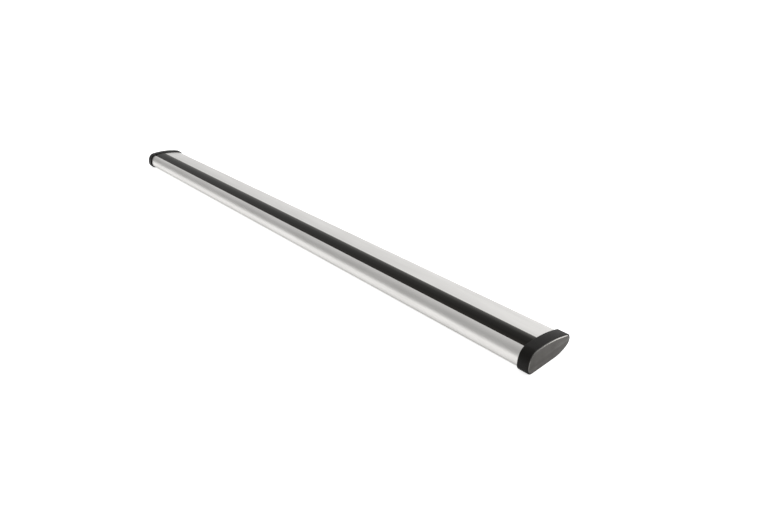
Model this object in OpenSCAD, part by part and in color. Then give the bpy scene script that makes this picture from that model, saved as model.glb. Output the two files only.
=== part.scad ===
// Aero roof rack crossbar: a hollow aluminium wing section with a T-slot above and below,
// rubber strips snapped into the slots, and a screwed-on end cap with a face plate at each end.
// X runs along the bar, Y across it from the blunt nose (-Y) to the tail (+Y), and Z is up.
// The origin is under the middle of the bar, on the surface that the end caps rest on.

/* [Bar] */
// Length over the two face plates
overall_len = 1200; // [900:10:1500]
// Width of the aluminium section, nose to tail
chord = 80; // [76:1:96]
// Height of the aluminium section at its crest
height = 28; // [27:0.5:34]
// Thickness of the outer skin
skin = 1.8; // [1.4:0.1:2.2]
// Thickness of the inner webs
web = 1.6; // [1.2:0.1:2]

/* [Section curves] */
// Distance from the nose back to the crest
crest_back = 23; // [20:1:28]
// Radius of the nose's front face
nose_r = 26; // [24:1:60]
// Height of the foremost point of the nose
nose_z = 8; // [8:0.5:12]
// Radius between the nose and the top
brow_r = 13; // [11:0.5:14]
// Radius between the nose and the underside
chin_r = 7.5; // [3.5:0.5:7.5]
// Height of the middle of the tail
tail_z = 13; // [11:0.2:14]
// Radius round the tail
tail_r = 7; // [6.5:0.5:9]
// Radius of the sweep from the underside up to the tail
belly_r = 50; // [35:1:60]
// Radius in the section's inner corners
fillet_r = 0.8; // [0.4:0.1:1]
// Radius on the section's outer corners
edge_r = 0.3; // [0.2:0.1:0.5]

/* [Slots] */
// Distance from the nose back to the middle of both slots
slot_back = 25; // [24:0.5:27]
// Width of the slot mouths
mouth_w = 11; // [9:0.5:12]
// Width of the slots behind their lips
slot_w = 21; // [19:0.5:22]
// Depth of the upper slot behind its lips
upper_slot_h = 5.2; // [4.6:0.2:6]
// Depth of the lower slot behind its lips
lower_slot_h = 5.6; // [5:0.2:6.4]
// Thickness of the upper lips
upper_lip = 2; // [1.6:0.1:2.4]
// Thickness of the lower lips
lower_lip = 2.4; // [2:0.1:2.8]
// Width of the seat that the top strip lies in
seat_w = 24.5; // [23:0.5:25.5]
// Depth of that seat below the crest
seat_depth = 2.4; // [2:0.1:2.8]

/* [Strips] */
// Height of the top strip's crown above the crest
strip_rise = 1.2; // [0.6:0.1:1.6]
// Step up from the bar to the top strip's rear edge
strip_step = 0.3; // [0:0.1:0.4]
// Radius on the top strip's shoulders
shoulder_r = 5; // [2:0.5:6]
// Slope of those shoulders where they meet the bar, in degrees
shoulder_slope = 36; // [28:2:40]
// Thickness of the strips' legs
leg_t = 2; // [1.4:0.1:2.4]
// How far the barbs reach under the lips
barb = 2.6; // [1.6:0.1:3]
// Height of the barbs
barb_h = 3; // [2.4:0.1:3.6]
// Thickness of the barbs at their tips
barb_t = 0.6; // [0.4:0.1:1]
// Thickness of the lower strips' flange
flange_t = 1; // [0.6:0.1:1.4]
// Width of the lower strips' flange
flange_w = 15; // [13:0.5:17]
// Distance from each end of the bar to the middle of its foot window
foot_in = 150; // [120:5:220]
// Length of each foot window, where the lower slot is open
foot_window = 110; // [70:5:140]

/* [End caps] */
// How far the cap's collar stands out from the bar
collar = 2.4; // [1.8:0.1:2.8]
// How far the collar reaches along the bar
collar_len = 9.5; // [7:0.5:16]
// Chamfer on the collar's outer edge
collar_lead = 0.5; // [0.3:0.1:0.8]
// Thickness of the cap's end wall
end_wall = 2.2; // [1.8:0.1:3]
// Depth of the pocket behind the face plate
pocket = 2.8; // [2.7:0.1:4]
// Thickness of the face plate
plate_t = 2.4; // [2.2:0.1:3]
// How far the face plate stands out of the cap's rim
plate_proud = 0.5; // [0.2:0.1:0.8]
// Width of the cap's rim round the face plate
rim = 1.6; // [1.4:0.1:2]
// Radius on the rim's outer edge
rim_r = 1.4; // [0.8:0.1:1.4]
// Width of the ledge that the face plate sits on
ledge = 1.5; // [1.2:0.1:2]
// Width of the face plate's bevel, at its top edge
bevel = 1.1; // [0.6:0.1:1.4]
// Thickness of the plug that guides the cap into the bar
plug_t = 1.6; // [1.2:0.1:2]
// How far the plug reaches into the bar
plug_len = 12; // [8:1:16]

/* [Screws] */
// Radius of the screw ports' bores
port_r = 1.75; // [1.6:0.05:1.9]
// Wall round the screw ports
port_wall = 1.85; // [1.5:0.05:2]
// Distance from the tail forward to the rear screw
rear_port_in = 18; // [15:1:20]
// Length of a screw under its head
screw_len = 16; // [12:1:25]
// Radius of a screw's head
head_r = 4; // [3.4:0.1:4.2]
// Height of a screw's head
head_h = 2.6; // [2.2:0.1:2.6]
// Radius of the pegs on the face plate
peg_r = 1.45; // [1.2:0.05:1.8]
// Distance from a screw's axis to the peg beside it
peg_by = 14; // [11:0.5:15]
// Wall of the sockets that hold the pegs
socket_wall = 1.5; // [1.2:0.1:1.8]

/* [Fits] */
// Gap between the collar and the bar
collar_gap = 0.15; // [0.05:0.05:0.3]
// Gap between the plug and the bar
plug_gap = 0.3; // [0.2:0.05:0.5]
// Gap on each side of a rubber strip
strip_gap = 0.2; // [0.1:0.05:0.3]
// Gap round the face plate
plate_gap = 0.1; // [0.05:0.05:0.2]
// Gap round a peg or a screw's core
pin_gap = 0.05; // [0.02:0.01:0.1]
// Gap round a screw where it passes the cap
hole_gap = 0.5; // [0.3:0.1:0.6]
// Gap beyond the end of a peg
peg_end_gap = 0.4; // [0.2:0.1:0.8]

/* [Hidden] */
$fn = 48;
slice = 0.01;

// The bar stands one collar above the surface, because the caps' collars go round it
lift = collar;
cap_end = end_wall + pocket + plate_t;
bar_end = overall_len / 2 - cap_end;
collar_x = bar_end - collar_len;
pocket_x = bar_end + end_wall;
plate_x = pocket_x + pocket;
rim_x = plate_x + plate_t - plate_proud;
nose_y = -chord / 2;
tail_y = chord / 2;

// Centres of the section's arcs, each blend lying inside the two curves that it joins.
// The crown is the one circle that is level at the crest and also touches the tail's
tail_c = [tail_y - tail_r, tail_z];
crest = [nose_y + crest_back, height];
crown_r = (norm(crest - tail_c) ^ 2 - tail_r ^ 2) / (2 * (height - tail_z - tail_r));
crown_c = crest - [0, crown_r];
nose_c = [nose_y + nose_r, nose_z];
brow_c = meet(crown_c, crown_r - brow_r, nose_c, nose_r - brow_r);
chin_c = [nose_c.x - leg(nose_r - chin_r, nose_z - chin_r), chin_r];
belly_c = [tail_c.x - leg(belly_r - tail_r, belly_r - tail_c.y), belly_r];

// Slots, in the section's own plane
slot_y = nose_y + slot_back;
seat_z = height - seat_depth;
upper_roof = seat_z - upper_lip;
upper_floor = upper_roof - upper_slot_h;
lower_roof = lower_lip + lower_slot_h;
box_half = slot_w / 2 + skin;
seat_half = seat_w / 2;

// Screw ports: one in the middle of the nose chamber and one in a web before the tail
boss_r = port_r + port_wall;
front_port = [(nose_y + skin + slot_y - box_half) / 2, nose_z + boss_r / 2];
rear_port_y = tail_y - rear_port_in;
rear_port = [rear_port_y, top_z(rear_port_y) / 2];
ports = [front_port, rear_port];
screw_r = port_r - pin_gap;

// Face plate, given by how far its edges lie inside the bar's own outline
recess_in = rim - collar;
plate_in = recess_in + plate_gap;
pocket_in = recess_in + ledge;
peg_ys = [front_port.x + peg_by, rear_port.x - peg_by, tail_c.x];
pegs = [for (y = peg_ys) [y, top_z(y) / 2]];
peg_len = pocket + end_wall - peg_end_gap;

// The side of a right triangle, from its longest side and the other one
function leg(long, other) = sqrt(long * long - other * other);
// Where two circles cross, on the left of the line from the first centre to the second
function meet(a, ra, b, rb) =
    let (d = norm(b - a), u = (b - a) / d, s = (ra * ra - rb * rb + d * d) / (2 * d))
    a + s * u + leg(ra, s) * [-u.y, u.x];
function heading(from, to) = atan2(to.y - from.y, to.x - from.x);
// Points on an arc, without its last one, which starts the next stretch
function arc(c, r, from, to, steps) =
    [for (i = [0:steps - 1]) let (a = from + (to - from) * i / steps) c + r * [cos(a), sin(a)]];
// Height of the top surface over a point between the crest and the tail
function top_z(y) = crown_c.y + leg(crown_r, y - crown_c.x);

// The wing outline, moved inwards by d: belly, tail, crown, brow, nose front and chin
function outline(d) = concat(
    arc(belly_c, belly_r - d, -90, heading(belly_c, tail_c), 6),
    arc(tail_c, tail_r - d, heading(belly_c, tail_c), heading(crown_c, tail_c), 16),
    arc(crown_c, crown_r - d, heading(crown_c, tail_c), heading(crown_c, brow_c), 16),
    arc(brow_c, brow_r - d, heading(crown_c, brow_c), heading(nose_c, brow_c), 12),
    arc(nose_c, nose_r - d, heading(nose_c, brow_c), 360 + heading(nose_c, chin_c), 4),
    arc(chin_c, chin_r - d, 360 + heading(nose_c, chin_c), 270, 10),
    [[chin_c.x, d]]
);

// Stands a shape drawn in the section's plane along X, from x1 to x2
module along(x1, x2)
    translate([x1, 0, lift]) rotate([90, 0, 90]) linear_extrude(x2 - x1) children();

module span(y1, y2, z1, z2)
    translate([y1, z1]) square([y2 - y1, z2 - z1]);

// The slot's shape: a mouth through the lips and a wider space behind them
module slot_cut(mouth_from, mouth_to, from, to) {
    span(slot_y - mouth_w / 2, slot_y + mouth_w / 2, mouth_from, mouth_to);
    span(slot_y - slot_w / 2, slot_y + slot_w / 2, from, to);
}

// Webs, slot walls and port bosses, before they are trimmed to the skin
module inner_walls() {
    span(slot_y - box_half, slot_y + box_half, 0, lower_roof + skin);
    span(slot_y - box_half, slot_y + box_half, upper_floor - skin, height);
    span(slot_y - seat_half - skin, slot_y + seat_half + skin, upper_roof, height);
    for (s = [-1, 1])
        translate([slot_y + s * (box_half - skin / 2) - skin / 2, 0]) square([skin, height]);
    span(nose_y, slot_y - slot_w / 2 - skin / 2, front_port.y - web / 2, front_port.y + web / 2);
    span(rear_port.x - web / 2, rear_port.x + web / 2, 0, height);
    for (p = ports)
        translate(p) circle(boss_r);
}

// Skin and walls with both slots and the strip's seat cut out, its corners still sharp
module sharp_section() {
    difference() {
        union() {
            difference() {
                polygon(outline(0));
                polygon(outline(skin));
            }
            intersection() {
                polygon(outline(skin / 2));
                inner_walls();
            }
        }
        slot_cut(-1, lower_lip + 1, lower_lip, lower_roof);
        slot_cut(upper_roof - 1, height, upper_floor, upper_roof);
        span(slot_y - seat_half, slot_y + seat_half, seat_z, height + 1);
    }
}

// Outer corners are rounded by growing the shape back, and inner ones by shrinking it back
module bar_section() {
    difference() {
        offset(r = -fillet_r, $fn = 16) offset(delta = fillet_r)
            offset(r = edge_r, $fn = 12) offset(delta = -edge_r) sharp_section();
        for (p = ports)
            translate(p) circle(port_r);
    }
}

module bar_profile() color("silver")
    along(-bar_end, bar_end) bar_section();

// Half of a strip's leg with its barb, out to the right of the slot's middle
function leg_pts(lip_top, lip_under, dir) =
    let (out = mouth_w / 2 - strip_gap, tip = lip_under + dir * (strip_gap + barb_h))
    [
        [out, lip_top], [out, lip_under + dir * strip_gap],
        [out + barb, lip_under + dir * strip_gap], [out + barb, lip_under + dir * (strip_gap + barb_t)],
        [out - leg_t / 3, tip], [out - leg_t, tip], [out - leg_t, lip_top]
    ];
function mirrored(pts) = [for (i = [len(pts) - 1:-1:0]) [-pts[i].x, pts[i].y]];

// The chamfered lower corner of what lies in the seat, clear of the fillet there
strip_half = seat_half - strip_gap;
function seat_corner(under) = [[strip_half, under + fillet_r], [strip_half - fillet_r, under]];

// The top strip's crown: one wide arc between two shoulders, which take 0.8 of its height at most
strip_top = height + strip_rise;
strip_foot = top_z(slot_y + seat_half) + strip_step;
strip_sag = strip_top - strip_foot;
shoulder = min(shoulder_r, 0.8 * strip_sag / (1 - cos(shoulder_slope)));
flat_half = strip_half - shoulder * sin(shoulder_slope);
strip_a = 2 * atan((strip_sag - shoulder * (1 - cos(shoulder_slope))) / flat_half);
strip_r = shoulder + flat_half / sin(strip_a);
strip_c = [0, strip_top - strip_r];
shoulder_c = strip_c + (strip_r - shoulder) * [sin(strip_a), cos(strip_a)];
crown_pts = concat(
    arc([-shoulder_c.x, shoulder_c.y], shoulder, 90 + shoulder_slope, 90 + strip_a, 6),
    arc(strip_c, strip_r, 90 + strip_a, 90 - strip_a, 12),
    arc(shoulder_c, shoulder, 90 - strip_a, 90 - shoulder_slope, 6),
    [[strip_half, strip_foot]]
);

// Top strip: a crowned flange that fills the seat, on two barbed legs
module top_strip() color([0.09, 0.09, 0.085]) {
    under = seat_z + strip_gap / 2;
    side = concat(seat_corner(under), leg_pts(under, upper_roof, -1));
    along(-collar_x + strip_gap, collar_x - strip_gap)
        translate([slot_y, 0]) polygon(concat(crown_pts, side, mirrored(side)));
}

// Lower strip: a thin flange against the underside, on two barbed legs
module lower_strip(x1, x2) color([0.11, 0.11, 0.11]) {
    half = flange_w / 2;
    side = concat([[half - flange_t / 2, -flange_t], [half, 0]], leg_pts(0, lower_lip, 1));
    along(x1, x2) translate([slot_y, 0]) polygon(concat(side, mirrored(side)));
}
foot_x = overall_len / 2 - foot_in;
window_in = foot_x - foot_window / 2;
window_out = foot_x + foot_window / 2;
module lower_strip_middle() lower_strip(-window_in, window_in);
module lower_strip_right() lower_strip(window_out, collar_x - strip_gap);

// The cap's outer form: straight along the collar, rounded into the rim
module cap_form() {
    hull() {
        along(collar_x, collar_x + slice) polygon(outline(collar_lead - collar));
        along(collar_x + collar_lead, rim_x - rim_r) polygon(outline(-collar));
        for (a = [22.5:22.5:90]) {
            x = rim_x - rim_r + rim_r * sin(a);
            along(x - slice, x) polygon(outline(rim_r * (1 - cos(a)) - collar));
        }
    }
}

// A thin-walled guide in the chamber behind the slots
module plug_section() {
    difference() {
        intersection() {
            polygon(outline(skin + plug_gap));
            span(slot_y + seat_half + skin + plug_gap, rear_port.x - boss_r - plug_gap, 0, height);
        }
        intersection() {
            polygon(outline(skin + plug_gap + plug_t));
            span(slot_y + seat_half + skin + plug_gap + plug_t,
                rear_port.x - boss_r - plug_gap - plug_t, 0, height);
        }
    }
}

// A tongue under the collar that fills the strip's seat and closes the upper slot's mouth
module tongue_section() {
    half = mouth_w / 2 - strip_gap;
    under = seat_z + collar_gap;
    side = concat(
        [[strip_half, height + collar]], seat_corner(under),
        [[half, under], [half, upper_floor + plug_gap]]
    );
    intersection() {
        polygon(outline(-collar / 2));
        translate([slot_y, 0]) polygon(concat(side, mirrored(side)));
    }
}

module end_cap() color([0.13, 0.13, 0.13]) {
    difference() {
        cap_form();
        along(collar_x - 1, bar_end) polygon(outline(-collar_gap));
        along(pocket_x, plate_x + 0.5) polygon(outline(pocket_in));
        along(plate_x, rim_x + 1) polygon(outline(recess_in));
        for (p = ports)
            along(bar_end - 1, pocket_x + 1) translate(p) circle(screw_r + hole_gap);
        for (p = pegs)
            along(bar_end - 1, pocket_x + 1) translate(p) circle(peg_r + pin_gap);
    }
    along(bar_end - plug_len, bar_end + end_wall / 2) plug_section();
    along(collar_x + collar_gap, bar_end + end_wall / 2) tongue_section();
    for (p = pegs)
        along(bar_end + end_wall / 2, plate_x) translate(p) difference() {
            circle(peg_r + pin_gap + socket_wall);
            circle(peg_r + pin_gap);
        }
}

// Face plate: its front is smaller than its back and set lower, so that the bevel is wide
// along the top edge and runs out below
module face_plate() color([0.38, 0.37, 0.36]) {
    front_x = plate_x + plate_t;
    hull() {
        along(plate_x, front_x - bevel * 0.7) polygon(outline(plate_in));
        along(front_x - slice, front_x) translate([0, -bevel / 2])
            polygon(outline(plate_in + bevel / 2));
    }
    for (p = pegs)
        along(plate_x - peg_len, plate_x + plate_t / 2) translate(p) circle(peg_r);
}

// Self-tapping pan-head screw with a cross recess, its head against the cap's end wall
module screw_at(p) color("dimgray")
    translate([pocket_x, p.x, p.y + lift]) rotate([0, 90, 0]) {
        tip = 1.4 * screw_r;
        translate([0, 0, -screw_len + tip]) cylinder(h = screw_len - tip, r = screw_r);
        translate([0, 0, -screw_len]) cylinder(h = tip, r1 = screw_r / 3, r2 = screw_r);
        difference() {
            union() {
                cylinder(h = head_h * 0.6, r = head_r);
                translate([0, 0, head_h * 0.6]) cylinder(h = head_h * 0.4, r1 = head_r, r2 = head_r * 0.7);
            }
            for (a = [0, 90])
                rotate(a) translate([-head_r / 2, -head_r / 8, head_h * 0.45]) cube([head_r, head_r / 4, head_h]);
        }
    }

module at_left() mirror([1, 0, 0]) children();

bar_profile();
top_strip();
lower_strip_middle();
at_left() lower_strip_right();  // lower_strip_left
lower_strip_right();
at_left() end_cap();  // end_cap_left
end_cap();  // end_cap_right
at_left() face_plate();  // face_plate_left
face_plate();  // face_plate_right
at_left() screw_at(front_port);  // screw_left_front
at_left() screw_at(rear_port);  // screw_left_rear
screw_at(front_port);  // screw_right_front
screw_at(rear_port);  // screw_right_rear
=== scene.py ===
import math

import bmesh
import bpy
import numpy as np
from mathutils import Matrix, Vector
from mathutils.geometry import tessellate_polygon


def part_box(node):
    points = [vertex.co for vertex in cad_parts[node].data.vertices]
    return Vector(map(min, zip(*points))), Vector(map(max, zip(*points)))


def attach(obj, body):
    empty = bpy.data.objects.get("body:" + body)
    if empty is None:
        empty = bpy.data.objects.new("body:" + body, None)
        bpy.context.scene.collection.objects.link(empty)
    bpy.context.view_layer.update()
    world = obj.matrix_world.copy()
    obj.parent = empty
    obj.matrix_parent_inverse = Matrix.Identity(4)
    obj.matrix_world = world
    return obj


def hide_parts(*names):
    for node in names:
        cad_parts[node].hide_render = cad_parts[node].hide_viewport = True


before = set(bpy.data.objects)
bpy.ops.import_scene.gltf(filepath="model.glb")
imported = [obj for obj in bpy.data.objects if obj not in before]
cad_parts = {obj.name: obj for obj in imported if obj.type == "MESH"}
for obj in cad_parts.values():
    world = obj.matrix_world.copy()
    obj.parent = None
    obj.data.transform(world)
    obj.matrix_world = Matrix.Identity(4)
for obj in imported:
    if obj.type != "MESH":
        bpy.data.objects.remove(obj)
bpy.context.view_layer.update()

print("frame loaded:", len(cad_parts), "solids")

# Everything is in metres. The section lies in the YZ plane, with its own zero at the bar's underside.
barLow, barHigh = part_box("bar_profile")
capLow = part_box("end_cap_right")[0]
plateLow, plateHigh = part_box("face_plate_right")
stripLow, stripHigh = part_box("top_strip")

wing = {
    "chord": barHigh.y - barLow.y,  # nose to tail
    "height": 0.028,  # underside to crest
    "lift": barLow.z,  # underside above the floor
    "crestBack": 0.023,  # nose to crest
    "noseRadius": 0.026,
    "noseHeight": 0.008,
    "browRadius": 0.013,  # nose to top
    "chinRadius": 0.0075,  # nose to underside
    "tailHeight": 0.013,
    "tailRadius": 0.007,
    "bellyRadius": 0.050,  # underside to tail
    "arcSteps": (24, 48, 96, 40, 32, 24),  # belly, tail, crown, brow, nose, chin
}


# The third side of a right triangle
def sideOf(longest, other):
    return math.sqrt(longest * longest - other * other)


def heading(start, end):
    return math.atan2(end[1] - start[1], end[0] - start[0])


# Centres of the six arcs. The crown is level at the crest and touches the tail's circle.
# The brow's centre is where the two circles meet that run one brow radius inside crown and nose.
# Chin and belly touch the underside, and the nose's and the tail's circle.
def wingCentres(s):
    nose = np.array((s["noseRadius"] - s["chord"] / 2, s["noseHeight"]))
    tail = np.array((s["chord"] / 2 - s["tailRadius"], s["tailHeight"]))
    crest = np.array((s["crestBack"] - s["chord"] / 2, s["height"]))
    drop = s["height"] - s["tailHeight"] - s["tailRadius"]
    crownRadius = (np.sum((crest - tail) ** 2) - s["tailRadius"] ** 2) / (2 * drop)
    crown = crest - (0, crownRadius)
    fromCrown, fromNose = crownRadius - s["browRadius"], s["noseRadius"] - s["browRadius"]
    gap = np.linalg.norm(nose - crown)
    along = (nose - crown) / gap
    reach = (fromCrown**2 - fromNose**2 + gap**2) / (2 * gap)
    brow = crown + reach * along + sideOf(fromCrown, reach) * np.array((-along[1], along[0]))
    chinDrop = s["noseHeight"] - s["chinRadius"]
    chin = np.array((nose[0] - sideOf(s["noseRadius"] - s["chinRadius"], chinDrop), s["chinRadius"]))
    bellyDrop = s["bellyRadius"] - s["tailHeight"]
    belly = np.array((tail[0] - sideOf(s["bellyRadius"] - s["tailRadius"], bellyDrop), s["bellyRadius"]))
    return belly, tail, crown, brow, nose, chin, crownRadius


belly, tail, crown, brow, nose, chin, crownRadius = wingCentres(wing)


# A point at angle a is the centre plus the radius times (cos a, sin a)
def arcPoints(centre, radius, start, end, steps):
    a = np.linspace(start, end, steps, endpoint=False)
    return centre + radius * np.stack((np.cos(a), np.sin(a)), axis=1)


# The six arcs in turn, anticlockwise seen from +X. Each radius is smaller by inset, which moves
# the whole outline inwards.
def wingArcs(inset):
    full = 2 * math.pi
    runs = (
        (belly, wing["bellyRadius"], -math.pi / 2, heading(belly, tail)),
        (tail, wing["tailRadius"], heading(belly, tail), heading(crown, tail)),
        (crown, crownRadius, heading(crown, tail), heading(crown, brow)),
        (brow, wing["browRadius"], heading(crown, brow), heading(nose, brow)),
        (nose, wing["noseRadius"], heading(nose, brow), full + heading(nose, chin)),
        (chin, wing["chinRadius"], full + heading(nose, chin), 1.5 * math.pi),
    )
    return [
        arcPoints(centre, radius - inset, start, end, steps)
        for (centre, radius, start, end), steps in zip(runs, wing["arcSteps"])
    ]


def wingOutline(inset):
    return np.concatenate(wingArcs(inset) + [np.array([(chin[0], inset)])])


# Height of the crown over y: the crown's centre plus the upright side of its radius
def topOver(y):
    return crown[1] + np.sqrt(crownRadius**2 - (y - crown[0]) ** 2)


# Each corner p becomes a curve from p - t*into to p + t*away, (1-s)^2 a + 2s(1-s) p + s^2 b,
# where t is the radius times the tangent of half the turn
def roundCorners(corners, radii, steps=6):
    p = np.asarray(corners, float)
    into = p - np.roll(p, 1, axis=0)
    away = np.roll(p, -1, axis=0) - p
    into /= np.linalg.norm(into, axis=1)[:, None]
    away /= np.linalg.norm(away, axis=1)[:, None]
    turn = np.arccos(np.clip(np.sum(into * away, axis=1), -1, 1))
    t = (np.asarray(radii, float) * np.tan(turn / 2))[:, None]
    a, b = (p - t * into)[:, None, :], (p + t * away)[:, None, :]
    s = np.linspace(0, 1, steps)[None, :, None]
    return ((1 - s) ** 2 * a + 2 * s * (1 - s) * p[:, None, :] + s**2 * b).reshape(-1, 2)


# An arc that runs all the way round
def circleLoop(centre, radius, steps=48):
    return arcPoints(np.asarray(centre), radius, 0, 2 * math.pi, steps)


# A convex loop keeps what lies on the side that normal points to; the cut is closed by a straight
# run of points, from where the loop leaves to where it comes back
def cutBack(loop, point, normal, fill=2):
    depth = (loop - point) @ np.asarray(normal, float)
    inside = depth > 0
    first = int(np.flatnonzero(inside & ~np.roll(inside, 1))[0])
    loop, depth = np.roll(loop, -first, axis=0), np.roll(depth, -first)
    count = int(np.sum(inside))
    leave = loop[count - 1] + (loop[count] - loop[count - 1]) * (
        depth[count - 1] / (depth[count - 1] - depth[count])
    )
    enter = loop[-1] + (loop[0] - loop[-1]) * (depth[-1] / (depth[-1] - depth[0]))
    t = np.linspace(0, 1, fill)[:, None]
    return np.concatenate((loop[:count], leave + (enter - leave) * t))


# Points that lie within radius of the centre move straight out to the circle
def pushOff(loop, centre, radius):
    away = loop - centre
    far = np.linalg.norm(away, axis=1)
    return np.where((far < radius)[:, None], centre + away / far[:, None] * radius, loop)


# Half the sum of y z' - y' z over the loop's edges, positive where it runs anticlockwise
def signedArea(loop):
    y, z = loop[:, 0], loop[:, 1]
    return 0.5 * float(np.sum(y * np.roll(z, -1) - np.roll(y, -1) * z))


weldWithin = 1e-6  # points this close become one
flatTurn = 1e-14  # twice the area of a triangle that is too thin to keep


# A mesh is gathered as arrays of points and lists of faces, and made into one piece at the end
class Shell:
    def __init__(self):
        self.points, self.faces, self.count = [], [], 0

    def addPoints(self, points):
        self.points.append(points)
        self.count += len(points)
        return self.count - len(points)

    # Quads between rings r and r+1, point k and k+1; the last point of a ring joins its first
    def addRings(self, rings):
        m, n = rings.shape[:2]
        start = self.addPoints(rings.reshape(-1, 3))
        r, k = np.meshgrid(np.arange(m - 1), np.arange(n), indexing="ij")
        after = (k + 1) % n
        quads = np.stack((r * n + k, r * n + after, (r + 1) * n + after, (r + 1) * n + k), axis=-1)
        self.faces += (quads.reshape(-1, 4) + start).tolist()

    # A flat wall at x with holes in it, facing +X or -X
    def addWall(self, x, loops, facing):
        flat = np.concatenate(loops)
        start = self.addPoints(np.column_stack((np.full(len(flat), x), flat[:, 0], flat[:, 1])))
        wall = [[Vector((y, z, 0)) for y, z in loop] for loop in loops]
        triangles = np.array(tessellate_polygon(wall))
        a, b, c = (flat[triangles[:, i]] for i in range(3))
        turn = (b - a)[:, 0] * (c - a)[:, 1] - (b - a)[:, 1] * (c - a)[:, 0]
        kept = np.abs(turn) > flatTurn
        triangles, turn = triangles[kept], turn[kept]
        wrong = turn * facing < 0
        triangles[wrong] = triangles[wrong][:, ::-1]
        self.faces += (triangles + start).tolist()

    # A section stands along X between two walls; loops after the first are hollows, and run the
    # other way round
    def addBar(self, loops, xLow, xHigh):
        loops = [
            loop if (signedArea(loop) > 0) == (k == 0) else loop[::-1] for k, loop in enumerate(loops)
        ]
        for loop in loops:
            self.addRings(np.stack([atX(loop, xLow), atX(loop, xHigh)]))
        self.addWall(xLow, loops, -1)
        self.addWall(xHigh, loops, 1)


def atX(loop, x):
    return np.column_stack((np.full(len(loop), x), loop[:, 0], loop[:, 1]))


# The shell is lifted to the bar's height, mirrored for the left end, and welded
def makePiece(name, shell, material, nodes, mirrored=False, sharpDegrees=35):
    points = np.concatenate(shell.points) + (0, 0, wing["lift"])
    faces = shell.faces
    if mirrored:
        points = points * (-1, 1, 1)
        faces = [face[::-1] for face in faces]
    mesh = bpy.data.meshes.new(name)
    mesh.from_pydata(points.tolist(), [], faces)
    welded = bmesh.new()
    welded.from_mesh(mesh)
    bmesh.ops.remove_doubles(welded, verts=welded.verts, dist=weldWithin)
    bmesh.ops.dissolve_degenerate(welded, edges=welded.edges, dist=weldWithin / 10)
    welded.to_mesh(mesh)
    welded.free()
    mesh.shade_smooth()
    mesh.set_sharp_from_angle(angle=math.radians(sharpDegrees))
    mesh.materials.append(material)
    piece = bpy.data.objects.new(name, mesh)
    bpy.context.scene.collection.objects.link(piece)
    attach(piece, "root")
    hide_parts(*nodes)
    print(f"{name}: {len(mesh.polygons)} faces")
    return piece


# Materials

# A socket takes a fixed value or another node's output
def feed(tree, socket, value):
    if isinstance(value, bpy.types.NodeSocket):
        tree.links.new(value, socket)
    else:
        socket.default_value = value


# Noise over object coordinates, stretched by the mapping's scale
def stretchedNoise(tree, scale, detail=3.0):
    place = tree.nodes.new("ShaderNodeTexCoord")
    stretch = tree.nodes.new("ShaderNodeMapping")
    stretch.inputs["Scale"].default_value = scale
    noise = tree.nodes.new("ShaderNodeTexNoise")
    noise.inputs["Scale"].default_value = 1.0
    noise.inputs["Detail"].default_value = detail
    tree.links.new(place.outputs["Object"], stretch.inputs["Vector"])
    tree.links.new(stretch.outputs["Vector"], noise.inputs["Vector"])
    return noise.outputs["Fac"]


# A value goes from one range to another and is held at both ends. Most of a noise lies from 0.3 to 0.7.
def ranged(tree, value, low, high, fromLow=0.3, fromHigh=0.7, smooth=False):
    remap = tree.nodes.new("ShaderNodeMapRange")
    if smooth:
        remap.interpolation_type = "SMOOTHSTEP"
    feed(tree, remap.inputs["From Min"], fromLow)
    feed(tree, remap.inputs["From Max"], fromHigh)
    feed(tree, remap.inputs["To Min"], low)
    feed(tree, remap.inputs["To Max"], high)
    feed(tree, remap.inputs["Value"], value)
    return remap.outputs["Result"]


# From one colour to another; the first may be another node's output
def blended(tree, share, low, high):
    mix = tree.nodes.new("ShaderNodeMix")
    mix.data_type = "RGBA"
    feed(tree, mix.inputs[0], share)
    feed(tree, mix.inputs[6], (*low, 1) if isinstance(low, tuple) else low)
    feed(tree, mix.inputs[7], (*high, 1))
    return mix.outputs[2]


# Between a finish's dark and light colour
def mottled(tree, noise, look):
    return blended(tree, ranged(tree, noise, 0, 1), look["dark"], look["light"])


def bumped(tree, height, depth, strength, under=None):
    bump = tree.nodes.new("ShaderNodeBump")
    bump.inputs["Distance"].default_value = depth
    bump.inputs["Strength"].default_value = strength
    tree.links.new(height, bump.inputs["Height"])
    if under is not None:
        tree.links.new(under, bump.inputs["Normal"])
    return bump.outputs["Normal"]


def startMaterial(name):
    material = bpy.data.materials.new(name)
    material.use_nodes = True
    return material, material.node_tree


# What is even all over goes straight onto the shader
def finishMaterial(tree, colour, roughness, normal=None, metallic=0.0, gloss=0.5):
    shader = tree.nodes["Principled BSDF"]
    tree.links.new(colour, shader.inputs["Base Color"])
    tree.links.new(roughness, shader.inputs["Roughness"])
    if normal is not None:
        tree.links.new(normal, shader.inputs["Normal"])
    shader.inputs["Metallic"].default_value = metallic
    shader.inputs["Specular IOR Level"].default_value = gloss


anodised = {
    "dark": (0.712, 0.70, 0.680),
    "light": (0.792, 0.78, 0.760),
    "roughness": (0.28, 0.38),
    "dieLines": (1.5, 1400, 1400),  # the die's fine lines run the whole length
    "lineBump": (0.00002, 0.5),  # depth and strength
    "cloud": (9, 60, 60),
}


def anodisedMaterial():
    material, tree = startMaterial("anodised_aluminium")
    lines = stretchedNoise(tree, anodised["dieLines"], detail=4)
    colour = mottled(tree, stretchedNoise(tree, anodised["cloud"]), anodised)
    normal = bumped(tree, lines, *anodised["lineBump"])
    finishMaterial(tree, colour, ranged(tree, lines, *anodised["roughness"]), normal, metallic=1.0)
    return material


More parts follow.
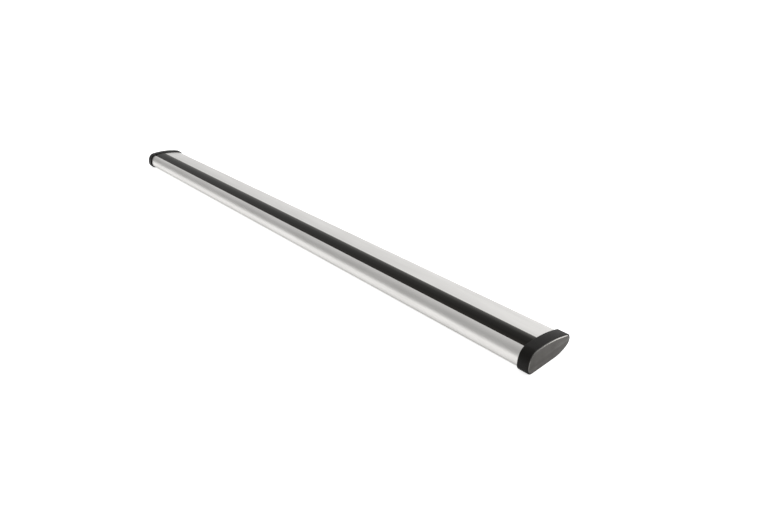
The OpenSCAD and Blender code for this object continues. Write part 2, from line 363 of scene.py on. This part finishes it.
rubber = {
    "dark": (0.0052, 0.0045, 0.0032),
    "light": (0.0076, 0.0067, 0.0050),
    "gloss": 0.08,
    "roughness": (0.30, 0.40),
    "speckle": (1800, 1800, 1800),
    "speckleBump": (0.00003, 0.2),
    "drag": (6, 500, 500),  # faint lines where the strip was drawn through its die
    "dragBump": (0.00004, 0.35),
    "frontPaintedHighlight": (0.025, 0.023, 0.0195),  # painted highlights along both edges of the top strip
    "frontPaintedHighlightWide": 0.0055,
    "rearPaintedHighlight": (0.075, 0.0715, 0.0655),
    "rearPaintedHighlightWide": 0.0095,
}


# Painted highlight along one edge of the top strip: the share of the highlight colour rises evenly over y,
# from 0 at width inside the strip's edge to 1 at the edge; side is -1 for the front edge and 1 for the rear
# one
def paintedEdgeHighlight(tree, colour, highlight, side, width):
    place = tree.nodes.new("ShaderNodeTexCoord")
    parts = tree.nodes.new("ShaderNodeSeparateXYZ")
    tree.links.new(place.outputs["Object"], parts.inputs[0])
    inner, outer = slotY + side * (seatHalf - width), slotY + side * seatHalf
    return blended(tree, ranged(tree, parts.outputs["Y"], 0, 1, inner, outer), colour, highlight)


def rubberMaterial():
    material, tree = startMaterial("strip_rubber")
    speckle = stretchedNoise(tree, rubber["speckle"])
    drag = stretchedNoise(tree, rubber["drag"])
    colour = mottled(tree, drag, rubber)
    # Painted highlights along the top strip's front and rear edges, lighter towards each edge
    colour = paintedEdgeHighlight(tree, colour, rubber["frontPaintedHighlight"], -1, rubber["frontPaintedHighlightWide"])
    colour = paintedEdgeHighlight(tree, colour, rubber["rearPaintedHighlight"], 1, rubber["rearPaintedHighlightWide"])
    normal = bumped(tree, drag, *rubber["dragBump"])
    normal = bumped(tree, speckle, *rubber["speckleBump"], normal)
    finishMaterial(tree, colour, ranged(tree, speckle, *rubber["roughness"]), normal, gloss=rubber["gloss"])
    return material


moulding = {
    "dark": (0.0056, 0.0050, 0.0042),
    "light": (0.0088, 0.0079, 0.0068),
    "gloss": 0.155,
    "roughness": (0.38, 0.50),
    "grain": (2600, 2600, 2600),  # spark-eroded grain
    "grainBump": (0.00006, 0.5),
    "cloud": (120, 120, 120),
}

plateFinish = {
    "dark": (0.061, 0.057, 0.051),
    "light": (0.083, 0.077, 0.070),
    "gloss": 0.3,
    "roughness": (0.34, 0.46),
    "grain": (3200, 3200, 3200),
    "grainBump": (0.00003, 0.35),
    "cloud": (70, 70, 70),
}


def mouldedMaterial(name, look):
    material, tree = startMaterial(name)
    grain = stretchedNoise(tree, look["grain"], detail=2)
    colour = mottled(tree, stretchedNoise(tree, look["cloud"]), look)
    normal = bumped(tree, grain, *look["grainBump"])
    finishMaterial(tree, colour, ranged(tree, grain, *look["roughness"]), normal, gloss=look["gloss"])
    return material


# The bright metal along the plate's bevel
bevelFinish = {
    "dark": (0.145, 0.141, 0.133),
    "light": (0.190, 0.186, 0.178),
    "roughness": (0.22, 0.30),
    "grain": (3200, 3200, 3200),
    "detail": 2,
}

screwFinish = {
    "dark": (0.36, 0.36, 0.37),
    "light": (0.50, 0.50, 0.51),
    "roughness": (0.3, 0.5),
    "grain": (900, 900, 900),
    "detail": 3,
}


def metalMaterial(name, look):
    material, tree = startMaterial(name)
    grain = stretchedNoise(tree, look["grain"], look["detail"])
    finishMaterial(tree, mottled(tree, grain, look), ranged(tree, grain, *look["roughness"]), metallic=1.0)
    return material


# The aluminium section

slots = {
    "back": 0.025,  # nose to the middle of both slots
    "mouth": 0.011,
    "width": 0.021,
    "upperDepth": 0.0052,
    "lowerDepth": 0.0056,
    "upperLip": 0.002,
    "lowerLip": 0.0024,
    "seatWidth": 0.0245,
    "seatDepth": 0.0024,
    "skin": 0.0018,
    "web": 0.0016,
    "edge": 0.0003,  # outer corners
    "fillet": 0.0008,  # inner corners
    "portRadius": 0.00175,
    "bossRadius": 0.0036,
    "rearPortIn": 0.018,  # tail to the rear port
    "noseWallSteps": 80,  # points along the walls that a port's boss bulges into
    "rearWallSteps": 120,
}
slotY = slots["back"] - wing["chord"] / 2
mouthHalf, slotHalf, seatHalf = slots["mouth"] / 2, slots["width"] / 2, slots["seatWidth"] / 2
boxHalf = slotHalf + slots["skin"]
seatZ = wing["height"] - slots["seatDepth"]
upperRoof = seatZ - slots["upperLip"]
upperFloor = upperRoof - slots["upperDepth"]
lowerRoof = slots["lowerLip"] + slots["lowerDepth"]
noseInside = slots["skin"] - wing["chord"] / 2
frontPort = np.array(((noseInside + slotY - boxHalf) / 2, wing["noseHeight"] + slots["bossRadius"] / 2))
rearPortY = wing["chord"] / 2 - slots["rearPortIn"]
rearPort = np.array((rearPortY, topOver(rearPortY) / 2))


# The outer loop runs round the arcs, and into both slots through their mouths.
# The right half of a slot's corners, mirrored about the slot's middle, gives the left half.
def slotCorners(right, leftToRight):
    right = np.asarray(right)
    left = right * (-1, 1)
    order = (left, right[::-1]) if leftToRight else (right, left[::-1])
    return np.concatenate(order) + (slotY, 0)


def barLoops():
    bellyArc, tailArc, crownArc, browArc, noseArc, chinArc = wingArcs(0)
    edge, fillet = slots["edge"], slots["fillet"]
    roof = np.concatenate((crownArc, browArc))
    behind = roof[roof[:, 0] > slotY + seatHalf + 2 * edge]
    ahead = roof[roof[:, 0] < slotY - seatHalf - 2 * edge]
    upper = slotCorners(
        [(seatHalf, 0), (seatHalf, seatZ), (mouthHalf, seatZ), (mouthHalf, upperRoof),
         (slotHalf, upperRoof), (slotHalf, upperFloor)], False)
    upper[[0, -1], 1] = np.interp(upper[[0, -1], 0], roof[::-1, 0], roof[::-1, 1])
    upperRadii = [edge] * 4 + [fillet] * 2
    lower = slotCorners(
        [(mouthHalf, 0), (mouthHalf, slots["lowerLip"]), (slotHalf, slots["lowerLip"]),
         (slotHalf, lowerRoof)], True)
    lowerRadii = [edge] * 2 + [fillet] * 2
    upper = np.concatenate((behind[-1:], upper, ahead[:1]))
    lower = np.concatenate(([(chin[0], 0)], lower, [(belly[0], 0)]))
    upperRun = roundCorners(upper, [0] + upperRadii + upperRadii[::-1] + [0])
    lowerRun = roundCorners(lower, [0] + lowerRadii + lowerRadii[::-1] + [0])
    outer = np.concatenate((bellyArc, tailArc, behind, upperRun, ahead, noseArc, chinArc, lowerRun))
    inner = wingOutline(slots["skin"])
    halfWeb, boss = slots["web"] / 2, slots["bossRadius"]
    noseSteps, rearSteps = slots["noseWallSteps"], slots["rearWallSteps"]
    noseRoom = cutBack(inner, (slotY - boxHalf, 0), (-1, 0))
    noseUpper = cutBack(noseRoom, (0, frontPort[1] + halfWeb), (0, 1), noseSteps)
    noseLower = cutBack(noseRoom, (0, frontPort[1] - halfWeb), (0, -1), noseSteps)
    rearRoom = cutBack(inner, (slotY + boxHalf, 0), (1, 0))
    rearMiddle = cutBack(rearRoom, (rearPort[0] - halfWeb, 0), (-1, 0), rearSteps)
    rearTail = cutBack(rearRoom, (rearPort[0] + halfWeb, 0), (1, 0), rearSteps)
    middle = roundCorners(
        [(slotY - slotHalf, lowerRoof + slots["skin"]), (slotY + slotHalf, lowerRoof + slots["skin"]),
         (slotY + slotHalf, upperFloor - slots["skin"]), (slotY - slotHalf, upperFloor - slots["skin"])],
        [fillet] * 4)
    return [
        outer,
        pushOff(noseUpper, frontPort, boss),
        pushOff(noseLower, frontPort, boss),
        pushOff(rearMiddle, rearPort, boss),
        pushOff(rearTail, rearPort, boss),
        middle,
        circleLoop(frontPort, slots["portRadius"]),
        circleLoop(rearPort, slots["portRadius"]),
    ]


def makeBar(material):
    shell = Shell()
    shell.addBar(barLoops(), barLow.x, barHigh.x)
    return makePiece("wing_section", shell, material, ["bar_profile"])


# The rubber strips

strips = {
    "gap": 0.0002,  # clear of the bar
    "rise": 0.0012,  # crown above the crest
    "step": 0.0003,  # up from the bar to the top strip's rear edge
    "shoulder": 0.018,  # radius
    "shoulderSlope": 20,  # degrees, where the shoulders meet the bar
    "arcSteps": (12, 48, 12),  # shoulder, middle, shoulder
    "legThick": 0.002,
    "barb": 0.0026,
    "barbHigh": 0.003,
    "barbThick": 0.0006,
    "flangeThick": 0.001,
    "flangeWide": 0.015,
}


# Half a strip's leg with its barb, from its root to its tip and back. The barb's slope ends a
# third into the leg.
def legCorners(lipTop, lipUnder, way):
    out = mouthHalf - strips["gap"]
    catch = lipUnder + way * strips["gap"]
    tip = catch + way * strips["barbHigh"]
    thick = strips["legThick"]
    return [
        (out, lipTop), (out, catch), (out + strips["barb"], catch),
        (out + strips["barb"], catch + way * strips["barbThick"]),
        (out - thick / 3, tip), (out - thick, tip), (out - thick, lipTop),
    ]


# The right half, from top to bottom, and its mirror image back up
def bothHalves(half):
    half = np.asarray(half, float)
    return np.concatenate((half, half[::-1] * (-1, 1)))


# The crown is one wide arc between two shoulder arcs of radius r. They share a tangent where the
# slope is a, with tan(a / 2) = (sag - r (1 - cos e)) / (half - r sin e) for a slope e at the bar
def topStripLoop():
    half = seatHalf - strips["gap"]
    under = seatZ + strips["gap"] / 2
    foot = topOver(slotY + seatHalf) + strips["step"]
    top = wing["height"] + strips["rise"]
    r, e, up = strips["shoulder"], math.radians(strips["shoulderSlope"]), math.pi / 2
    flat = half - r * math.sin(e)
    a = 2 * math.atan((top - foot - r * (1 - math.cos(e))) / flat)
    radius = r + flat / math.sin(a)
    middle = np.array((0, top - radius))
    side = middle + (radius - r) * np.array((math.sin(a), math.cos(a)))
    left, over, right = strips["arcSteps"]
    arcs = [
        arcPoints(side * (-1, 1), r, up + e, up + a, left),
        arcPoints(middle, radius, up + a, up - a, over),
        arcPoints(side, r, up - a, up - e, right),
    ]
    lower = bothHalves([(half, foot), (half, under + slots["fillet"]), (half - slots["fillet"], under)]
                       + legCorners(under, upperRoof, -1))
    return np.concatenate(arcs + [lower]) + (slotY, 0)


# A flat flange with slanted sides under a leg with two barbs
def lowerStripLoop():
    half, thick = strips["flangeWide"] / 2, strips["flangeThick"]
    side = [(half - thick / 2, -thick), (half, 0)] + legCorners(0, slots["lowerLip"], 1)
    return bothHalves(side) + (slotY, 0)


def makeStrips(material):
    shell = Shell()
    shell.addBar([topStripLoop()], stripLow.x, stripHigh.x)
    makePiece("crowned_top_strip", shell, material, ["top_strip"], sharpDegrees=30)
    for place in ("middle", "left", "right"):
        node = "lower_strip_" + place
        low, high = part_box(node)
        shell = Shell()
        shell.addBar([lowerStripLoop()], low.x, high.x)
        makePiece("infill_" + place, shell, material, [node], sharpDegrees=30)


# The end caps, modelled for the right end and mirrored for the left

cap = {
    "collar": 0.0024,  # proud of the bar
    "collarGap": 0.00015,
    "collarLead": 0.0005,  # the round of its open edge
    "wall": 0.0022,  # across the bar's end
    "pocket": 0.0028,  # behind the plate, for the screws' heads
    "plateThick": 0.0024,
    "plateProud": 0.0005,  # of the rim
    "rim": 0.0016,
    "rimRadius": 0.0014,
    "ledge": 0.0015,  # under the plate's edge
    "bevelDeep": 0.00077,
    "bevelDrop": 0.00055,  # also its inset, so that it runs out below
    "bevelSoft": 0.12,  # share of the bevel that is rounded at each end
    "plateGap": 0.0001,
    "plugGap": 0.0003,
    "plugThick": 0.0016,
    "screwHole": 0.0022,  # radius
    "pegRadius": 0.00145,
    "pegGap": 0.00005,
    "pegChamfer": 0.0003,
    "pegRoot": 0.001,  # how far a peg reaches into the plate
    "socketWall": 0.0015,
    "pegBy": 0.014,  # from each port to the peg next to it
    "innerEdge": 0.00025,  # the round inside the rim
    "roundSteps": 12,
}
barEnd = barHigh.x
frontX = plateHigh.x
plateX = frontX - cap["plateThick"]
pocketX = plateX - cap["pocket"]
rimX = frontX - cap["plateProud"]
collarX = stripHigh.x + strips["gap"]
recessIn = cap["rim"] - cap["collar"]
pocketIn = recessIn + cap["ledge"]
plateIn = recessIn + cap["plateGap"]
pegHole = cap["pegRadius"] + cap["pegGap"]
pegYs = np.array((frontPort[0] + cap["pegBy"], rearPort[0] - cap["pegBy"], tail[0]))
pegs = np.stack((pegYs, topOver(pegYs) / 2), axis=1)


# A ring stands at x with the outline moved in by inset, and lowered by drop
def outlineRings(stops):
    return np.stack([atX(wingOutline(inset) - (0, drop), x) for x, inset, drop in stops])


# A round wall runs through (x, radius) stops about a centre
def roundRings(centre, stops, steps=48):
    return np.stack([atX(circleLoop(centre, radius, steps), x) for x, radius in stops])


# The cap's outside, rim, recess and ledge as one run of (x, inset, drop) stops. Quarter rounds:
# x = rim - r + r sin a, inset = r (1 - cos a) - collar
def capStops():
    out, r, lead, small = -cap["collar"], cap["rimRadius"], cap["collarLead"], cap["innerEdge"]
    a = np.linspace(0, math.pi / 2, cap["roundSteps"])
    collarEdge = [(collarX + lead * (1 - math.sin(q)), out + lead * (1 - math.cos(q)), 0) for q in a]
    rimEdge = [(rimX - r + r * math.sin(q), out + r * (1 - math.cos(q)), 0) for q in a]
    innerEdge = [(rimX - small * (1 - math.cos(q)), recessIn - small * (1 - math.sin(q)), 0) for q in a]
    return (
        [(barEnd, -cap["collarGap"], 0), (collarX, -cap["collarGap"], 0)]
        + collarEdge[::-1]
        + rimEdge
        + innerEdge
        + [(plateX, recessIn, 0), (plateX, pocketIn, 0), (pocketX, pocketIn, 0)]
    )


# The tongue fills the slot's seat and mouth between the strip's end and the cap's root. Its top
# follows the crown, half a collar above it.
def tongueLoop():
    half, narrow = seatHalf - strips["gap"], mouthHalf - strips["gap"]
    under = seatZ + cap["collarGap"]
    across = np.linspace(-half, half, 5)
    upper = np.column_stack((across, topOver(slotY + across) + cap["collar"] / 2))
    lower = bothHalves([(half, under + slots["fillet"]), (half - slots["fillet"], under), (narrow, under),
                        (narrow, upperFloor + cap["plugGap"])])
    return np.concatenate((upper, lower)) + (slotY, 0)


# The plug is the rear chamber's outline moved in by a gap, and its hollow is moved in by a wall more
def plugLoops():
    loops = []
    for inset in (cap["plugGap"], cap["plugGap"] + cap["plugThick"]):
        loop = wingOutline(slots["skin"] + inset)
        loop = cutBack(loop, (slotY + seatHalf + slots["skin"] + inset, 0), (1, 0))
        loops.append(cutBack(loop, (rearPort[0] - slots["bossRadius"] - inset, 0), (-1, 0)))
    return loops


def makeCap(side, material):
    shell = Shell()
    shell.addRings(outlineRings(capStops()))
    screwHoles = [circleLoop(port, cap["screwHole"]) for port in (frontPort, rearPort)]
    socketRadius = pegHole + cap["socketWall"]
    sockets = [circleLoop(peg, socketRadius) for peg in pegs]
    pegHoles = [circleLoop(peg, pegHole) for peg in pegs]
    shell.addWall(pocketX, [wingOutline(pocketIn)] + screwHoles + sockets, 1)
    shell.addWall(barEnd, [wingOutline(-cap["collarGap"])] + screwHoles + pegHoles, -1)
    for port in (frontPort, rearPort):
        shell.addRings(roundRings(port, [(pocketX, cap["screwHole"]), (barEnd, cap["screwHole"])]))
    for peg in pegs:
        shell.addRings(roundRings(peg, [(pocketX, socketRadius), (plateX, socketRadius),
                                        (plateX, pegHole), (barEnd, pegHole)]))
    rootX = barEnd + cap["wall"] / 2
    shell.addBar(plugLoops(), capLow.x, rootX)
    shell.addBar([tongueLoop()], collarX + cap["collarGap"], rootX)
    makePiece("moulded_cap_" + side, shell, material, ["end_cap_" + side], side == "left")


# The plate's front is smaller than its back and sits lower, so that the bevel is wide above
# and runs out below: inset and drop both grow evenly along it, and its depth bows at both ends
def plateStops():
    deep, drop, soft = cap["bevelDeep"], cap["bevelDrop"], cap["bevelSoft"]
    s = np.array((0, soft / 2, soft, 1 - soft, 1 - soft / 2, 1))
    bow = np.array((0, soft / 4, soft * 0.9, 1 - soft * 0.5, 1 - soft / 8, 1))
    return [(plateX, plateIn, 0)] + [
        (frontX - deep * (1 - b), plateIn + q * drop, q * drop) for q, b in zip(s, bow)
    ]


def makePlate(side, material, edgeMaterial):
    shell = Shell()
    stops = plateStops()
    shell.addRings(outlineRings(stops))
    shell.addWall(plateX, [wingOutline(plateIn)], -1)
    frontLoop = wingOutline(stops[-1][1]) - (0, stops[-1][2])
    shell.addWall(frontX, [frontLoop], 1)
    tip, root, r, chamfer = plateLow.x, plateX + cap["pegRoot"], cap["pegRadius"], cap["pegChamfer"]
    for peg in pegs:
        shell.addRings(roundRings(peg, [(tip, r - chamfer), (tip + chamfer, r), (root, r)]))
        shell.addWall(tip, [circleLoop(peg, r - chamfer)], -1)
        shell.addWall(root, [circleLoop(peg, r)], 1)
    piece = makePiece("plain_plate_" + side, shell, material, ["face_plate_" + side],
                      side == "left", sharpDegrees=20)
    piece.data.materials.append(edgeMaterial)
    count = len(piece.data.polygons)
    centres, normals = np.empty(count * 3), np.empty(count * 3)
    piece.data.polygons.foreach_get("center", centres)
    piece.data.polygons.foreach_get("normal", normals)
    centres, normals = centres.reshape(-1, 3), normals.reshape(-1, 3)
    # the bevel's faces lie close behind the front and don't face straight along X
    onFront = np.abs(centres[:, 0]) > frontX - cap["bevelDeep"] - weldWithin
    onBevel = onFront & (np.abs(normals[:, 0]) < 0.999)
    piece.data.polygons.foreach_set("material_index", onBevel.astype(np.int32))
    piece.data.update()


# Build everything

makeBar(anodisedMaterial())
makeStrips(rubberMaterial())
moulded = mouldedMaterial("cap_plastic", moulding)
plateGrey = mouldedMaterial("plate_plastic", plateFinish)
bevelMetal = metalMaterial("plate_bright_edge", bevelFinish)
steel = metalMaterial("screw_steel", screwFinish)
for side in ("left", "right"):
    makeCap(side, moulded)
    makePlate(side, plateGrey, bevelMetal)
    for place in ("front", "rear"):
        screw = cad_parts[f"screw_{side}_{place}"]
        screw.data.materials.clear()
        screw.data.materials.append(steel)
print("pieces made")


# Camera, floor and light

camera = {
    "place": (0.95964, -0.52924, 0.48132),
    "turn": (62.576, 3.933, 49.804),  # degrees about X, Y and Z
    "lens": 28.856,
    "clip": (0.01, 60),
}


def makeCamera():
    data = bpy.data.cameras.new("camera")
    data.sensor_width = 36
    data.lens = camera["lens"]
    data.clip_start, data.clip_end = camera["clip"]
    view = bpy.data.objects.new("camera", data)
    view.location = camera["place"]
    view.rotation_euler = [math.radians(angle) for angle in camera["turn"]]
    bpy.context.scene.collection.objects.link(view)
    bpy.context.scene.camera = view


studio = {
    "floorHalf": 14.0,
    "floorBelow": 0.0002,  # just clear of the caps' flat undersides
    "floorColour": (0.92, 0.92, 0.92),
    "floorGlow": 0.75,  # added for the picture's own rays
    "floorMirrored": 0.42,  # added for what mirrors and glass show, but not where the bar shades it
    "floorShade": 0.04,  # how near the bar it is taken away
    "shadeSamples": 8,
    "backdrop": 0.97,  # brightness behind the tail
    "backdropSides": 0.78,  # and at both its far sides
    "sidesFrom": 0.5,  # how far along x its sides begin
    "room": (0.45, 0.71),  # brightness low in front of the nose, and up towards the backdrop
    "roomSpan": (-1.0, 0.3),  # cosines of the angles about the bar, from the backdrop
    "backdropSpan": (0.5, 0.92),
}


def worked(tree, operation, *values):
    node = tree.nodes.new("ShaderNodeMath")
    node.operation = operation
    for socket, value in zip(node.inputs, values):
        feed(tree, socket, value)
    return node.outputs[0]


# The floor's own light: one level for the picture's own rays, and one for what mirrors and glass
# show, which ambient occlusion takes away close to the bar
def glowLevel(tree):
    path = tree.nodes.new("ShaderNodeLightPath")
    clear = tree.nodes.new("ShaderNodeAmbientOcclusion")
    clear.inputs["Distance"].default_value = studio["floorShade"]
    clear.samples = studio["shadeSamples"]
    mirrored = worked(tree, "MULTIPLY", clear.outputs["AO"], studio["floorMirrored"])
    total = worked(tree, "MULTIPLY", path.outputs["Is Camera Ray"], studio["floorGlow"])
    for kind in ("Is Glossy Ray", "Is Transmission Ray"):
        total = worked(tree, "MULTIPLY_ADD", path.outputs[kind], mirrored, total)
    return total


def makeFloor():
    h = studio["floorHalf"]
    mesh = bpy.data.meshes.new("floor")
    z = -studio["floorBelow"]
    mesh.from_pydata([(-h, -h, z), (h, -h, z), (h, h, z), (-h, h, z)], [], [(0, 1, 2, 3)])
    floor = bpy.data.objects.new("floor", mesh)
    bpy.context.scene.collection.objects.link(floor)
    material, tree = startMaterial("floor_paper")
    tree.nodes.clear()
    output = tree.nodes.new("ShaderNodeOutputMaterial")
    paper = tree.nodes.new("ShaderNodeBsdfDiffuse")
    paper.inputs["Color"].default_value = (*studio["floorColour"], 1)
    glow = tree.nodes.new("ShaderNodeEmission")
    both = tree.nodes.new("ShaderNodeAddShader")
    tree.links.new(glowLevel(tree), glow.inputs["Strength"])
    tree.links.new(paper.outputs[0], both.inputs[0])
    tree.links.new(glow.outputs[0], both.inputs[1])
    tree.links.new(both.outputs[0], output.inputs["Surface"])
    mesh.materials.append(material)


# The sky's level over c = y / sqrt(y^2 + z^2), the cosine of the angle about X from +Y: it rises
# evenly through the room's span, then by a smooth step through the backdrop's, which fades evenly
# along x. The picture's own rays see white.
def makeWorld():
    world = bpy.data.worlds.new("studio")
    bpy.context.scene.world = world
    world.use_nodes = True
    tree = world.node_tree
    background = tree.nodes["Background"]
    place = tree.nodes.new("ShaderNodeTexCoord").outputs["Generated"]
    across = tree.nodes.new("ShaderNodeVectorMath")
    across.operation = "MULTIPLY"
    across.inputs[1].default_value = (0, 1, 1)
    unit = tree.nodes.new("ShaderNodeVectorMath")
    unit.operation = "NORMALIZE"
    turned = tree.nodes.new("ShaderNodeSeparateXYZ")
    along = tree.nodes.new("ShaderNodeSeparateXYZ")
    tree.links.new(place, across.inputs[0])
    tree.links.new(across.outputs[0], unit.inputs[0])
    tree.links.new(unit.outputs[0], turned.inputs[0])
    tree.links.new(place, along.inputs[0])
    cosine, aside = turned.outputs["Y"], worked(tree, "ABSOLUTE", along.outputs["X"])
    room = ranged(tree, cosine, *studio["room"], *studio["roomSpan"])
    backdrop = ranged(tree, aside, studio["backdrop"], studio["backdropSides"], studio["sidesFrom"], 1)
    sky = ranged(tree, cosine, room, backdrop, *studio["backdropSpan"], smooth=True)
    path = tree.nodes.new("ShaderNodeLightPath")
    white = ranged(tree, path.outputs["Is Camera Ray"], sky, 1.0, 0, 1)
    tree.links.new(white, background.inputs["Strength"])
    background.inputs["Color"].default_value = (1, 1, 1, 1)


lamps = {
    "keyFrom": (0.45, 0.50, 0.74),  # direction from the object to the soft key light
    "keyStrength": 0.9,
    "keySpread": 26,  # degrees that it spans
    "stripPlace": (1.725, 2.116, 0.357),  # a long low box beside the near end, behind the tail
    "stripAim": (0.6, 0.0, 0.02),
    "stripSize": (1.2, 0.6),
    "stripPower": 11,
}


def addLight(name, kind, direction, place):
    light = bpy.data.objects.new(name, bpy.data.lights.new(name, kind))
    light.rotation_euler = Vector(direction).to_track_quat("Z", "Y").to_euler()
    light.location = place
    bpy.context.scene.collection.objects.link(light)
    return light.data


def makeLamps():
    key = addLight("key", "SUN", lamps["keyFrom"], lamps["keyFrom"])
    key.energy = lamps["keyStrength"]
    key.angle = math.radians(lamps["keySpread"])
    place = Vector(lamps["stripPlace"])
    box = addLight("strip", "AREA", place - Vector(lamps["stripAim"]), place)
    box.shape = "RECTANGLE"
    box.size, box.size_y = lamps["stripSize"]
    box.energy = lamps["stripPower"]


makeCamera()
makeFloor()
makeWorld()
makeLamps()
bpy.context.scene.view_settings.view_transform = "Standard"
print("studio ready")
